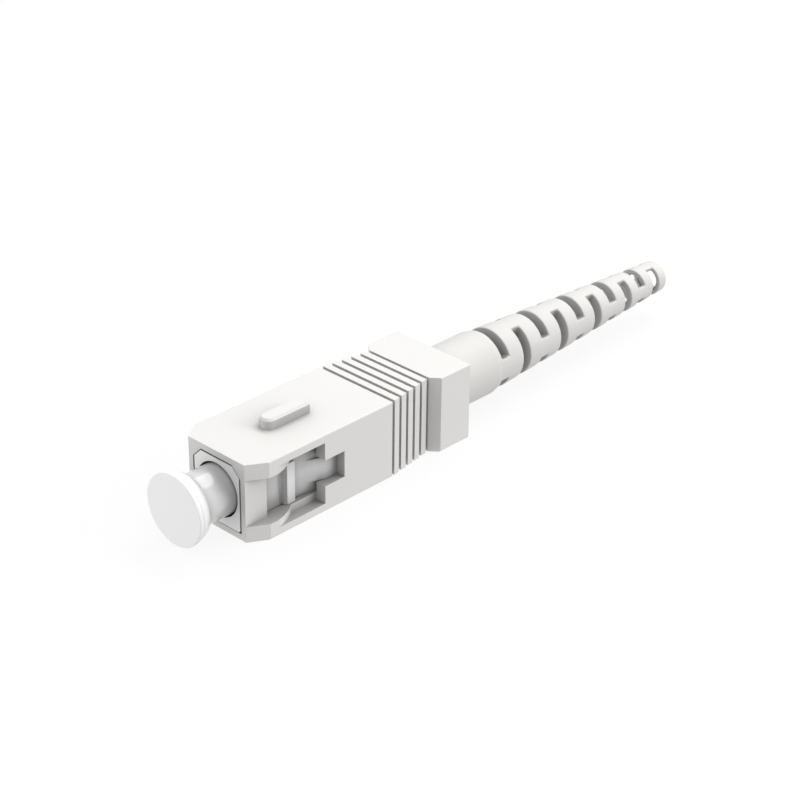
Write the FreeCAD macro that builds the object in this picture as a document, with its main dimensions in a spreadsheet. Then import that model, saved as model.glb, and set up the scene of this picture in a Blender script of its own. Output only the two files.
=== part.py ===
import FreeCAD, Part
import Sketcher
import math
import os

# SC push-pull optical fibre plug, millimetres.
# Origin: centre of the mating face, on the ferrule axis.
# +X runs back towards the boot, +Z up to the key, +Y to the side.

doc = FreeCAD.newDocument("sc_plug")
sheet = doc.addObject("Spreadsheet::Sheet", "Sizes")


class Size:
    """A size: its spreadsheet expression and the value it has now."""

    def __init__(self, text, value):
        self.text = text
        self.value = value

    def __add__(self, other):
        other = length(other)
        return Size(f"({self.text} + {other.text})", self.value + other.value)

    def __radd__(self, other):
        return length(other) + self

    def __sub__(self, other):
        other = length(other)
        return Size(f"({self.text} - {other.text})", self.value - other.value)

    def __rsub__(self, other):
        return length(other) - self

    def __mul__(self, factor):
        if isinstance(factor, Size):
            return Size(f"({self.text} * {factor.text})", self.value * factor.value)
        return Size(f"({self.text} * {factor:.6f})", self.value * factor)

    __rmul__ = __mul__

    def __truediv__(self, number):
        return Size(f"({self.text} / {number})", self.value / number)

    def __neg__(self):
        return Size(f"(0 mm - {self.text})", -self.value)


def length(item):
    """A plain number is a length in mm."""
    if isinstance(item, Size):
        return item
    return Size(f"{item} mm", float(item))


rows = [0]


def size(name, value, meaning, unit="mm"):
    """One named row of the spreadsheet."""
    rows[0] += 1
    row = rows[0]
    sheet.set(f"A{row}", meaning)
    sheet.set(f"B{row}", f"{value} {unit}".strip())
    sheet.setAlias(f"B{row}", name)
    return Size(f"Sizes.{name}", float(value))


# ---------------------------------------------------------------- sizes
# Outer housing (the push-pull grip)
housing_w = size("housing_w", 9.0, "outer housing, width over the sides")
housing_h = size("housing_h", 7.4, "outer housing, height without the key")
housing_l = size("housing_l", 25.95, "outer housing, length")
wall_out = size("wall_out", 3.43, "half width at the front face, and of the channel floors")
nose_l = size("nose_l", 1.78, "length of the front side chamfers")
waist_x = size("waist_x", 16.0, "start of the tapered waist")
waist_end = size("waist_end", 21.41, "end of the tapered waist")
waist_hw = size("waist_hw", 3.63, "half width at the end of the waist")
block_rise = size("block_rise", 0.88, "length of the chamfer up to the rear block")
rib_pitch = size("rib_pitch", 0.985, "pitch of the grip ribs")
groove_w = size("groove_w", 0.5, "width of a grip groove")
groove_side = size("groove_side", 0.36, "depth of a grip groove at the sides")
groove_top = size("groove_top", 0.28, "depth of a grip groove at top and bottom")
edge_r = size("edge_r", 0.12, "rounding of the long outer edges")
recess_hh = size("recess_hh", 2.946, "half height of the side recess")
recess_x = size("recess_x", 2.7, "front end of the side recess")
recess_floor_x = size("recess_floor_x", 5.1, "where the recess ramp meets its floor")
ramp_r = size("ramp_r", 5.0, "radius of the recess ramp")
window_hh = size("window_hh", 2.207, "half height of the side window and channel")
window_x = size("window_x", 2.4, "front end of the side window")
window_end = size("window_end", 8.1, "back end of the side window and recess")
slot_hh = size("slot_hh", 1.255, "half height of the tab slot")
slot_end = size("slot_end", 10.38, "back end of the tab slot")
mouth_hw = size("mouth_hw", 2.9, "half width of the front cavity")
mouth_hh = size("mouth_hh", 3.12, "half height of the cavity")
mouth_cut = size("mouth_cut", 1.02, "upper corner chamfer of the front cavity")
grip_travel = size("grip_travel", 2.2, "how far the grip slides back over the plug frame")
wide_x = size("wide_x", 8.5, "front end of the wide cavity")
cavity_gap = size("cavity_gap", 0.2, "gap behind the plug frame in the wide cavity")
neck_r = size("neck_r", 2.9, "radius of the bore through the waist")
neck_end = size("neck_end", 22.0, "back end of the bore through the waist")
tail_r = size("tail_r", 3.3, "radius of the bore round the boot")
key_w = size("key_w", 1.58, "key width")
key_h = size("key_h", 0.98, "key height")
key_x = size("key_x", 5.12, "front end of the key")
key_end = size("key_end", 9.93, "back end of the key")
key_cut = size("key_cut", 0.1, "chamfer of the key's top edges")

# Plug frame (the inner housing)
frame_gap = size("frame_gap", 0.21, "gap between plug frame and front cavity at the side")
frame_top = size("frame_top", 2.92, "top of the plug frame's nose")
frame_bot = size("frame_bot", 3.02, "bottom of the plug frame")
frame_cut = size("frame_cut", 0.81, "upper corner chamfer of the plug frame")
frame_low = size("frame_low", 0.13, "lower corner chamfer of the plug frame")
step_gap = size("step_gap", 0.1, "gap between the frame's rear block and the cavity step, grip back")
body_hw = size("body_hw", 3.3, "half width of the plug frame's rear block")
frame_l = size("frame_l", 15.3, "length of the plug frame")
socket_r = size("socket_r", 2.48, "radius of the front socket")
socket_l = size("socket_l", 5.9, "depth of the front socket")
seat_wall = size("seat_wall", 1.1, "thickness of the ferrule seat wall")
seat_r = size("seat_r", 1.55, "radius of the hole in the seat wall")
barrel_r = size("barrel_r", 2.25, "radius of the spring chamber")
float_l = size("float_l", 1.2, "how far the ferrule unit can be pushed back")
lug_foot = size("lug_foot", 4.6, "front foot of the latch lug")
lug_bend = size("lug_bend", 0.5, "radius of the curve at the lug's front foot")
lug_x = size("lug_x", 4.86, "front of the latch lug's flat")
lug_end = size("lug_end", 5.73, "back of the latch lug's flat")
lug_hw = size("lug_hw", 3.3, "half width over the latch lugs")
lug_low = size("lug_low", 2.17, "lower end of the lug below the axis")
lug_high = size("lug_high", 1.75, "upper end of the lug above the axis")
ramp_end = size("ramp_end", 8.75, "back end of the frame's side ramp")
ramp_hw = size("ramp_hw", 3.2, "half width over the end of the side ramps")
ramp_round = size("ramp_round", 0.7, "rounding of the ramp's back end")
tab_foot = size("tab_foot", 7.3, "where the tab leaves the side ramp")
tab_x = size("tab_x", 8.95, "where the tab reaches its full height")
tab_hw = size("tab_hw", 3.62, "half width over the retaining tabs")
tab_low = size("tab_low", 1.2, "lower edge of the tab below the axis")
tab_high = size("tab_high", 0.9, "upper edge of the tab above the axis")
tab_gap = size("tab_gap", 0.05, "gap between tab and slot end at rest")
root_l = size("root_l", 0.1, "how far lugs and tabs run into the wall they stand on")

# Ferrule unit
ferrule_r = size("ferrule_r", 1.25, "ferrule radius")
ferrule_l = size("ferrule_l", 10.5, "ferrule length")
ferrule_out = size("ferrule_out", 0.9, "ferrule tip in front of the mating face")
tip_cut = size("tip_cut", 0.45, "ferrule tip chamfer, radial")
fibre_r = size("fibre_r", 0.063, "fibre hole radius")
flange_r = size("flange_r", 2.1, "flange radius")
flange_l = size("flange_l", 3.0, "flange length")
stem_r = size("stem_r", 1.1, "flange stem radius")
flange_cut = size("flange_cut", 0.15, "chamfer of the flange's front edge")
notch_w = size("notch_w", 0.6, "width of a keying notch in the flange")
notch_h = size("notch_h", 0.35, "depth of a keying notch")
notch_l = size("notch_l", 0.9, "length of a keying notch")
tube_r = size("tube_r", 0.45, "lead-in tube radius")
tube_bore = size("tube_bore", 0.25, "lead-in tube bore radius")
tube_l = size("tube_l", 11.3, "length of the lead-in tube")

# Spring
wire_r = size("wire_r", 0.22, "spring wire radius")
coil_r = size("coil_r", 1.6, "spring mean coil radius")
coil_turns = size("coil_turns", 4, "spring turns", "")

# Stop ring and crimp sleeve
stop_in = size("stop_in", 2.7, "how far the stop ring enters the plug frame")
seat_in = size("seat_in", 0.9, "how far the spring's seat lies inside the plug frame")
stop_wall = size("stop_wall", 0.25, "wall round the stop ring's spring pocket")
collar_r = size("collar_r", 2.7, "stop ring collar radius")
collar_l = size("collar_l", 0.8, "stop ring collar length")
snap_in = size("snap_in", 1.6, "how far the snap rib enters the plug frame")
snap_r = size("snap_r", 2.5, "radius of the snap rib")
snap_w = size("snap_w", 0.6, "width of the snap rib")
spigot_r = size("spigot_r", 1.9, "radius of the crimping spigot")
spigot_l = size("spigot_l", 8.9, "length of the crimping spigot")
ridge_w = size("ridge_w", 0.8, "width of a groove round the spigot")
ridge_h = size("ridge_h", 0.2, "depth of a groove round the spigot")
through_r = size("through_r", 1.3, "bore through the spigot")
sleeve_wall = size("sleeve_wall", 0.4, "crimp sleeve wall")
sleeve_gap = size("sleeve_gap", 0.9, "gap between the collar and the crimp sleeve")
sleeve_over = size("sleeve_over", 1.0, "how far the sleeve's wide part runs past the spigot")
sleeve_cone = size("sleeve_cone", 0.3, "length of the sleeve's cone")
sleeve_tail = size("sleeve_tail", 4.7, "length of the sleeve's narrow part")

# Boot
boot_x = size("boot_x", 24.4, "front end of the boot")
boot_r = size("boot_r", 3.1, "boot radius in front")
boot_step = size("boot_step", 31.6, "back end of the boot's plain part")
cone_r = size("cone_r", 3.01, "start radius of the boot's cone")
boot_end = size("boot_end", 57.85, "back end of the boot")
boot_tip_r = size("boot_tip_r", 1.56, "boot radius at the tail")
cable_r = size("cable_r", 1.25, "radius of the cable's way through sleeve and boot")
tail_bore = size("tail_bore", 1.05, "radius of the hole that holds the cable at the tail")
tail_ring = size("tail_ring", 0.95, "length of the hole that holds the cable")
slot_x = size("slot_x", 32.3, "front edge of the first flex slot")
slot_w = size("slot_w", 1.03, "width of a flex slot")
slot_pitch = size("slot_pitch", 2.98, "first pitch of the flex slots")
slot_shrink = size("slot_shrink", 0.965, "ratio of one slot pitch to the last", "")
slot_arc = size("slot_arc", 136, "arc of a flex slot", "deg")

# Dust cap
cap_face = size("cap_face", 4.76, "cap's flat end in front of the mating face")
cap_rim = size("cap_rim", 0.4, "width of the cap's rim")
cap_r = size("cap_r", 3.33, "cap radius")
cap_round = size("cap_round", 1.5, "radius of the curve behind the rim")
cap_bell = size("cap_bell", 1.38, "from the flat end to the back of that curve")
cap_drop = size("cap_drop", 0.355, "how far that curve falls in from the rim")
cap_waist = size("cap_waist", 2.06, "from the flat end to the front of the neck's curve")
cap_flare = size("cap_flare", 0.13, "rise of the neck's curve over the neck")
cap_throat = size("cap_throat", 2.71, "from the flat end to the neck")
cap_neck = size("cap_neck", 2.29, "neck radius of the cap, also where it enters the socket")
cap_tube = size("cap_tube", 1.9, "radius of the cap's tube in the socket")
cap_deep = size("cap_deep", 0.5, "how far the cap's neck enters the socket")
cap_room = size("cap_room", 0.35, "room in the cap in front of the ferrule")

# Fits shared by the pieces
push_fit = size("push_fit", 0.02, "gap between pieces that are pushed together")
boot_fit = size("boot_fit", 0.03, "gap between the boot and the crimp sleeve")
snap_fit = size("snap_fit", 0.1, "room round a snap rib, and behind the ferrule")

doc.recompute()

frame_hw = mouth_hw - frame_gap
nose_end = wide_x + grip_travel + step_gap
flange_x = socket_l + seat_wall
spring_seat = frame_l - seat_in
collar_end = frame_l + collar_l
spigot_end = collar_end + spigot_l
sleeve_in = spigot_r + push_fit
sleeve_r = sleeve_in + sleeve_wall
sleeve_x = collar_end + sleeve_gap
sleeve_big = spigot_end + sleeve_over
sleeve_neck = sleeve_big + sleeve_cone
sleeve_end = sleeve_neck + sleeve_tail
cavity_end = frame_l + cavity_gap


# -------------------------------------------------------------- helpers
def body(name):
    """One named piece with its own origin."""
    made = doc.addObject("PartDesign::Body", name)
    made.Label = name
    return made


def origin(piece, role):
    """One of the piece's own planes or axes."""
    for feature in piece.Origin.OriginFeatures:
        if feature.Role == role:
            return feature
    raise ValueError(role)


def pin_corner(sketch, line, corner, number):
    """Tie the start of a line to its place from the sketch's origin."""
    for letter, kind, axis, item in (
        ("x", "DistanceX", -2, length(corner[0])),
        ("y", "DistanceY", -1, length(corner[1])),
    ):
        geo, point = line
        if abs(item.value) < 1e-9:
            sketch.addConstraint(Sketcher.Constraint("PointOnObject", geo, point, axis))
            continue
        if item.value > 0:
            ends = (-1, 1, geo, point)
        else:
            ends = (geo, point, -1, 1)
            item = -item
        index = sketch.addConstraint(Sketcher.Constraint(kind, *ends, item.value))
        label = f"{letter}{number}"
        sketch.renameConstraint(index, label)
        sketch.setExpression(f"Constraints.{label}", item.text)


def arc_between(start, end, radius):
    """Arc from start to end: the centre is on the left for a positive radius."""
    dx = end[0] - start[0]
    dy = end[1] - start[1]
    chord = math.hypot(dx, dy)
    height = math.sqrt(radius * radius - chord * chord / 4)
    side = 1 if radius > 0 else -1
    cx = (start[0] + end[0]) / 2 - side * dy / chord * height
    cy = (start[1] + end[1]) / 2 + side * dx / chord * height
    first = math.atan2(start[1] - cy, start[0] - cx)
    last = math.atan2(end[1] - cy, end[0] - cx)
    if side < 0:
        first, last = last, first
    circle = Part.Circle(FreeCAD.Vector(cx, cy, 0), FreeCAD.Vector(0, 0, 1), abs(radius))
    return Part.ArcOfCircle(circle, first, last)


def outline(piece, name, role, loops, along=None):
    """Sketch of closed loops. A corner is (x, y) or (x, y, radius of the arc to the next)."""
    sketch = piece.newObject("Sketcher::SketchObject", name)
    sketch.AttachmentSupport = (origin(piece, role), [""])
    sketch.MapMode = "FlatFace"
    if along is not None:
        sketch.AttachmentOffset = FreeCAD.Placement(
            FreeCAD.Vector(0, 0, along.value), FreeCAD.Rotation())
        sketch.setExpression("AttachmentOffset.Base.z", along.text)
    number = 0
    for loop in loops:
        starts = []
        stops = []
        for place, corner in enumerate(loop):
            after = loop[(place + 1) % len(loop)]
            here = (length(corner[0]).value, length(corner[1]).value)
            there = (length(after[0]).value, length(after[1]).value)
            if len(corner) == 3:
                radius = length(corner[2])
                geo = sketch.addGeometry(arc_between(here, there, radius.value), False)
                size_of = radius if radius.value > 0 else -radius
                index = sketch.addConstraint(Sketcher.Constraint("Radius", geo, size_of.value))
                sketch.renameConstraint(index, f"r{number + place}")
                sketch.setExpression(f"Constraints.r{number + place}", size_of.text)
                ends = (1, 2) if radius.value > 0 else (2, 1)
            else:
                line = Part.LineSegment(FreeCAD.Vector(*here, 0), FreeCAD.Vector(*there, 0))
                geo = sketch.addGeometry(line, False)
                ends = (1, 2)
            starts.append((geo, ends[0]))
            stops.append((geo, ends[1]))
        for place, corner in enumerate(loop):
            before = stops[place - 1]
            sketch.addConstraint(Sketcher.Constraint("Coincident", *before, *starts[place]))
            pin_corner(sketch, starts[place], corner, number + place)
        number += len(loop)
    return sketch


def box(x0, x1, y0, y1):
    """Four corners of a rectangle."""
    return [(x0, y0), (x1, y0), (x1, y1), (x0, y1)]


def both_sides(loop):
    """A loop and its mirror image across the X axis of the sketch."""
    mirrored = []
    for corner in loop:
        flipped = (corner[0], -length(corner[1]))
        if len(corner) == 3:
            flipped += (-corner[2],)
        mirrored.append(flipped)
    return [loop, mirrored]


def extrude(piece, kind, name, sketch, depth, both=False, back=False):
    """Pad or Pocket of a sketch."""
    feature = piece.newObject(f"PartDesign::{kind}", name)
    feature.Profile = sketch
    feature.Length = depth.value
    feature.setExpression("Length", depth.text)
    feature.SideType = "Symmetric" if both else "One side"
    feature.Reversed = back
    sketch.Visibility = False
    return feature


def turn(piece, kind, name, sketch):
    """Revolution or Groove of a sketch about the ferrule axis."""
    feature = piece.newObject(f"PartDesign::{kind}", name)
    feature.Profile = sketch
    feature.ReferenceAxis = (origin(piece, "X_Axis"), [""])
    feature.Angle = 360
    sketch.Visibility = False
    return feature


def edges_where(feature, test):
    """Names of the edges of a feature that pass a test."""
    names = []
    for number, edge in enumerate(feature.Shape.Edges, 1):
        if test(edge):
            names.append(f"Edge{number}")
    return names


def soften(piece, kind, name, feature, amount, test):
    """Fillet or Chamfer on the chosen edges."""
    doc.recompute()
    made = piece.newObject(f"PartDesign::{kind}", name)
    made.Base = (feature, edges_where(feature, test))
    prop = "Radius" if kind == "Fillet" else "Size"
    setattr(made, prop, amount.value)
    made.setExpression(prop, amount.text)
    return made


def cut_box(piece, name, corner, sides):
    """Box taken out of a piece: its low corner and its three sides."""
    feature = piece.newObject("PartDesign::SubtractiveBox", name)
    for prop, item in zip(("Length", "Width", "Height"), sides):
        setattr(feature, prop, item.value)
        feature.setExpression(prop, item.text)
    place = [length(item) for item in corner]
    feature.Placement = FreeCAD.Placement(
        FreeCAD.Vector(*[item.value for item in place]), FreeCAD.Rotation())
    for axis, item in zip("xyz", place):
        feature.setExpression(f"Placement.Base.{axis}", item.text)
    return feature



# ------------------------------------------------------- outer housing
housing = body("outer_housing")
half_w = housing_w / 2
half_h = housing_h / 2
slope = (half_w - waist_hw).value / (waist_end - waist_x).value


def waist_at(x):
    """Half width of the tapered waist at a distance along the axis."""
    return half_w - (x - waist_x) * slope


side = [(0, wall_out), (nose_l, half_w), (waist_x, half_w)]
for rib in range(6):
    start = waist_x + rib_pitch * rib
    stop = start + groove_w
    if rib > 0:
        side.append((start, waist_at(start)))
    side.append((start, waist_at(start) - groove_side))
    side.append((stop, waist_at(stop) - groove_side))
    side.append((stop, waist_at(stop)))
side += [(waist_end, waist_hw), (waist_end + block_rise, half_w), (housing_l, half_w)]
other = [(x, -length(y)) for x, y in reversed(side)]
plan = outline(housing, "housing_plan", "XY_Plane", [side + other])
extrude(housing, "Pad", "housing_block", plan, housing_h, both=True)

# grooves across the top and the bottom of the waist
loops = []
for rib in range(6):
    start = waist_x + rib_pitch * rib
    stop = start + groove_w
    loops += both_sides(box(start, stop, half_h - groove_top, half_h + 1))
grooves = outline(housing, "rib_grooves", "XZ_Plane", loops)
extrude(housing, "Pocket", "top_grooves", grooves, housing_w + 2, both=True)

# front cavity for the plug frame, with its chamfered upper corners
mouth = outline(housing, "mouth", "YZ_Plane", [[
    (-mouth_hw, -mouth_hh),
    (mouth_hw, -mouth_hh),
    (mouth_hw, mouth_hh - mouth_cut),
    (mouth_hw - mouth_cut, mouth_hh),
    (mouth_cut - mouth_hw, mouth_hh),
    (-mouth_hw, mouth_hh - mouth_cut),
]])
extrude(housing, "Pocket", "front_cavity", mouth, wide_x, back=True)
passage = outline(housing, "passage_plan", "XY_Plane", [box(window_end, wide_x, -wall_out, wall_out)])
extrude(housing, "Pocket", "lug_passage", passage, window_hh * 2, both=True)
wide = outline(housing, "wide_plan", "XY_Plane", [box(wide_x, cavity_end, -wall_out, wall_out)])
extrude(housing, "Pocket", "wide_cavity", wide, mouth_hh * 2, both=True)

# round bore through the waist and the wider bore round the boot
bore_x = cavity_end - cavity_gap
bore = outline(housing, "rear_bore", "XZ_Plane", [[
    (bore_x, 0),
    (housing_l + 1, 0),
    (housing_l + 1, tail_r),
    (neck_end, tail_r),
    (neck_end, neck_r),
    (bore_x, neck_r),
]])
turn(housing, "Groove", "rear_bores", bore)

# channels, ramps, windows and tab slots in both sides
channel = outline(housing, "channel_plan", "XY_Plane",
                  both_sides(box(-1, window_end, wall_out, half_w + 1)))
extrude(housing, "Pocket", "side_channels", channel, window_hh * 2, both=True)
recess = outline(housing, "recess_plan", "XY_Plane", both_sides([
    (recess_x, half_w, -ramp_r),
    (recess_floor_x, wall_out),
    (window_end, wall_out),
    (window_end, half_w + 1),
    (recess_x, half_w + 1),
]))
extrude(housing, "Pocket", "side_recesses", recess, recess_hh * 2, both=True)
window = outline(housing, "window_plan", "XY_Plane",
                 both_sides(box(window_x, window_end, mouth_hw - 1, half_w)))
extrude(housing, "Pocket", "side_windows", window, window_hh * 2, both=True)
slot = outline(housing, "slot_plan", "XY_Plane",
               both_sides(box(window_end - 1, slot_end, mouth_hw - 1, half_w + 1)))
last_cut = extrude(housing, "Pocket", "tab_slots", slot, slot_hh * 2, both=True)

# key on the top, with a nose just under half a turn
nose_r = key_w * 0.5001
key_outline = outline(housing, "key_plan", "XY_Plane", [[
    (key_end, -(key_w / 2)),
    (key_end, key_w / 2),
    (key_x + key_w / 2, key_w / 2, nose_r),
    (key_x + key_w / 2, -(key_w / 2)),
]], along=half_h)
key_pad = extrude(housing, "Pad", "key", key_outline, key_h)


def on_key_top(edge):
    """Edges round the key's top face."""
    level = (half_h + key_h).value
    return all(abs(v.Z - level) < 1e-4 for v in edge.Vertexes)


key_top = soften(housing, "Chamfer", "key_chamfer", key_pad, key_cut, on_key_top)


def on_long_corner(edge):
    """Plain long corners of the housing, along X."""
    low = edge.BoundBox
    straight = low.YLength < 1e-4 and low.ZLength < 1e-4 and low.XLength > 2.5
    outer = abs(abs(low.YMin) - half_w.value) < 1e-3
    return straight and outer and abs(abs(low.ZMin) - half_h.value) < 1e-3


soften(housing, "Fillet", "corner_rounding", key_top, edge_r, on_long_corner)

# ---------------------------------------------------------- plug frame
frame = body("plug_frame")
nose = outline(frame, "nose_face", "YZ_Plane", [[
    (frame_low - frame_hw, -frame_bot),
    (frame_hw - frame_low, -frame_bot),
    (frame_hw, frame_low - frame_bot),
    (frame_hw, frame_top - frame_cut),
    (frame_hw - frame_cut, frame_top),
    (frame_cut - frame_hw, frame_top),
    (-frame_hw, frame_top - frame_cut),
    (-frame_hw, frame_low - frame_bot),
]])
extrude(frame, "Pad", "nose", nose, nose_end)
rear = outline(frame, "rear_face", "YZ_Plane",
               [box(-body_hw, body_hw, -frame_bot, frame_bot)], along=nose_end)
extrude(frame, "Pad", "rear_block", rear, frame_l - nose_end)

lug_mid = (lug_high - lug_low) / 2
ramp_rise = (ramp_hw - frame_hw).value / (ramp_end - lug_end).value
lug = outline(frame, "lug_plan", "XY_Plane", both_sides([
    (lug_foot - lug_bend * 0.66, frame_hw - root_l),
    (lug_foot - lug_bend * 0.66, frame_hw, lug_bend),
    (lug_foot + lug_bend * 0.26, frame_hw + lug_bend * 0.61),
    (lug_x, lug_hw),
    (lug_end, lug_hw),
    (lug_end, frame_hw),
    (ramp_end - ramp_round, ramp_hw - ramp_round * ramp_rise, -ramp_round),
    (ramp_end, ramp_hw - ramp_round * (ramp_rise + 1)),
    (ramp_end, frame_hw - root_l),
]), along=lug_mid)
extrude(frame, "Pad", "latch_lugs", lug, lug_low + lug_high, both=True)
tab = outline(frame, "tab_plan", "XY_Plane", both_sides([
    (tab_foot, frame_hw - root_l),
    (tab_foot, frame_hw + (tab_foot - lug_end) * ramp_rise),
    (tab_x, tab_hw),
    (slot_end - tab_gap, tab_hw),
    (slot_end - tab_gap, frame_hw - root_l),
]), along=(tab_high - tab_low) / 2)
extrude(frame, "Pad", "retaining_tabs", tab, tab_low + tab_high, both=True)

snap_x = frame_l - snap_in
snap_end = snap_x + snap_w
inside = outline(frame, "frame_bores", "XZ_Plane", [[
    (-1, 0),
    (frame_l + 1, 0),
    (frame_l + 1, barrel_r),
    (snap_end + snap_fit, barrel_r),
    (snap_end + snap_fit, snap_r + snap_fit),
    (snap_x - snap_fit, snap_r + snap_fit),
    (snap_x - snap_fit, barrel_r),
    (flange_x, barrel_r),
    (flange_x, seat_r),
    (socket_l, seat_r),
    (socket_l, socket_r),
    (-1, socket_r),
]])
turn(frame, "Groove", "inner_bores", inside)

# -------------------------------------------------------- ferrule unit
ferrule = body("ferrule")
tip = -ferrule_out
heel = tip + ferrule_l
rod = outline(ferrule, "ferrule_half", "XZ_Plane", [[
    (tip, fibre_r),
    (tip, ferrule_r - tip_cut),
    (tip + tip_cut * 1.4, ferrule_r),
    (heel, ferrule_r),
    (heel, fibre_r),
]])
turn(ferrule, "Revolution", "ferrule_rod", rod)

flange = body("ferrule_flange")
flange_end = flange_x + flange_l
stem_end = spring_seat - flange_cut - float_l / 2
cup = outline(flange, "flange_half", "XZ_Plane", [[
    (flange_x, ferrule_r),
    (flange_x, flange_r - flange_cut),
    (flange_x + flange_cut, flange_r),
    (flange_end, flange_r),
    (flange_end, stem_r),
    (stem_end, stem_r),
    (stem_end, tube_r),
    (heel, tube_r),
    (heel, ferrule_r),
]])
turn(flange, "Revolution", "flange_turned", cup)
# four keying notches in the flange's rim: above, below and at both sides
notch_x = flange_end - notch_l
notch_low = flange_r - notch_h
notch_long = notch_l + 1
notch_deep = notch_h + 1
cut_box(flange, "notch_top", (notch_x, -(notch_w / 2), notch_low), (notch_long, notch_w, notch_deep))
cut_box(flange, "notch_bottom", (notch_x, -(notch_w / 2), -(notch_low + notch_deep)),
        (notch_long, notch_w, notch_deep))
cut_box(flange, "notch_left", (notch_x, notch_low, -(notch_w / 2)), (notch_long, notch_deep, notch_w))
cut_box(flange, "notch_right", (notch_x, -(notch_low + notch_deep), -(notch_w / 2)),
        (notch_long, notch_deep, notch_w))

tube = body("lead_in_tube")
tube_x = heel + snap_fit
pipe = outline(tube, "tube_half", "XZ_Plane", [box(tube_x, tube_x + tube_l, tube_bore, tube_r)])
turn(tube, "Revolution", "tube_turned", pipe)

# -------------------------------------------------------------- spring
spring = body("spring")
first = flange_end + wire_r
wire = outline(spring, "wire_section", "XZ_Plane", [[
    (first - wire_r, coil_r),
    (first, coil_r - wire_r),
    (first + wire_r, coil_r),
    (first, coil_r + wire_r),
]])
coil = spring.newObject("PartDesign::AdditiveHelix", "coil")
coil.Profile = wire
coil.ReferenceAxis = (origin(spring, "X_Axis"), [""])
coil.Mode = "height-turns-angle"
coil_l = spring_seat - flange_end - wire_r * 2
coil.Height = coil_l.value
coil.setExpression("Height", coil_l.text)
coil.Turns = coil_turns.value
coil.setExpression("Turns", coil_turns.text)
coil.Angle = 0

# ----------------------------------------------------------- stop ring
stop = body("stop_ring")
stop_x = frame_l - stop_in
pocket_r = barrel_r - stop_wall
plug_r = barrel_r - push_fit
ridge_x = collar_end + sleeve_gap * 2
profile = outline(stop, "stop_half", "XZ_Plane", [[
    (stop_x, pocket_r),
    (stop_x, plug_r),
    (snap_x, plug_r),
    (snap_x, snap_r),
    (snap_end, snap_r),
    (snap_end, plug_r),
    (frame_l, plug_r),
    (frame_l, collar_r),
    (collar_end, collar_r),
    (collar_end, spigot_r),
    (ridge_x, spigot_r),
    (ridge_x + ridge_w / 2, spigot_r - ridge_h),
    (ridge_x + ridge_w, spigot_r),
    (spigot_end, spigot_r),
    (spigot_end, through_r),
    (spring_seat, through_r),
    (spring_seat, pocket_r),
]])
turn(stop, "Revolution", "stop_turned", profile)

sleeve = body("crimp_sleeve")
shell = outline(sleeve, "sleeve_half", "XZ_Plane", [[
    (sleeve_x, sleeve_in),
    (sleeve_x, sleeve_r),
    (sleeve_big, sleeve_r),
    (sleeve_neck, cable_r + sleeve_wall),
    (sleeve_end, cable_r + sleeve_wall),
    (sleeve_end, cable_r),
    (sleeve_neck, cable_r),
    (sleeve_big, sleeve_in),
]])
turn(sleeve, "Revolution", "sleeve_turned", shell)

# ---------------------------------------------------------------- boot
boot = body("boot")
wide_bore = sleeve_r + boot_fit
narrow_bore = cable_r + sleeve_wall + boot_fit
past = boot_fit * 10
skin = outline(boot, "boot_half", "XZ_Plane", [[
    (boot_x, wide_bore),
    (boot_x, boot_r),
    (boot_step, boot_r),
    (boot_step, cone_r),
    (boot_end, boot_tip_r),
    (boot_end, tail_bore),
    (boot_end - tail_ring, tail_bore),
    (boot_end - tail_ring, cable_r),
    (sleeve_end + past, cable_r),
    (sleeve_end + past, narrow_bore),
    (sleeve_neck + past, narrow_bore),
    (sleeve_neck + past, wide_bore),
]])
turn(boot, "Revolution", "boot_turned", skin)
# flex slots in pairs, first above and below, then at the two sides, and so on
for number in range(10):
    steps = sum(slot_shrink.value ** power for power in range(number))
    front = slot_x + slot_pitch * steps
    middle = 90 if number % 2 == 0 else 0
    for half in (0, 180):
        sector = boot.newObject("PartDesign::SubtractiveCylinder", f"slot_{number}_{half}")
        sector.Radius = boot_r.value + 1
        sector.setExpression("Radius", f"{boot_r.text} + 1 mm")
        sector.Height = slot_w.value
        sector.setExpression("Height", slot_w.text)
        sector.Angle = slot_arc.value
        sector.setExpression("Angle", slot_arc.text)
        lean = FreeCAD.Rotation(FreeCAD.Vector(0, 1, 0), 90)
        spin = FreeCAD.Rotation(FreeCAD.Vector(1, 0, 0), middle + half + 90 - slot_arc.value / 2)
        sector.Placement = FreeCAD.Placement(
            FreeCAD.Vector(front.value, 0, 0), spin.multiply(lean))
        sector.setExpression("Placement.Base.x", front.text)

# ------------------------------------------------------------ dust cap
cap = body("dust_cap")
face = -cap_face
grip_r = ferrule_r + push_fit
cap_end = socket_l - float_l - snap_fit
turned = outline(cap, "cap_half", "XZ_Plane", [[
    (face, 0),
    (face, cap_r),
    (face + cap_rim, cap_r, -cap_round),
    (face + cap_bell, cap_r - cap_drop),
    (face + cap_waist, cap_neck + cap_flare),
    (face + cap_throat, cap_neck),
    (cap_deep, cap_neck),
    (cap_deep, cap_tube),
    (cap_end, cap_tube),
    (cap_end, grip_r),
    (tip - cap_room, grip_r),
    (tip - cap_room, 0),
]])
turn(cap, "Revolution", "cap_turned", turned)

# --------------------------------------------------------------- write
doc.recompute()
bad = []
for item in doc.Objects:
    if "Invalid" in item.State or "Error" in item.State:
        bad.append(item.Name)
os.makedirs("parts", exist_ok=True)
for item in doc.Objects:
    if item.TypeId != "PartDesign::Body":
        continue
    shape = item.Shape
    if shape.isNull() or not shape.isValid() or len(shape.Solids) != 1:
        bad.append(item.Label)
        continue
    print(item.Label, round(shape.Volume, 3), shape.BoundBox)
    shape.exportStep(f"parts/{item.Label}.step")
if bad:
    raise SystemExit("not built: " + ", ".join(bad))
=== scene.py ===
"""Looks for an SC push-pull fibre plug with its dust cap on, built round its frame.

Origin at the centre of the mating face: +X back along the boot, +Z up to the key.
"""

import math

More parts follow.
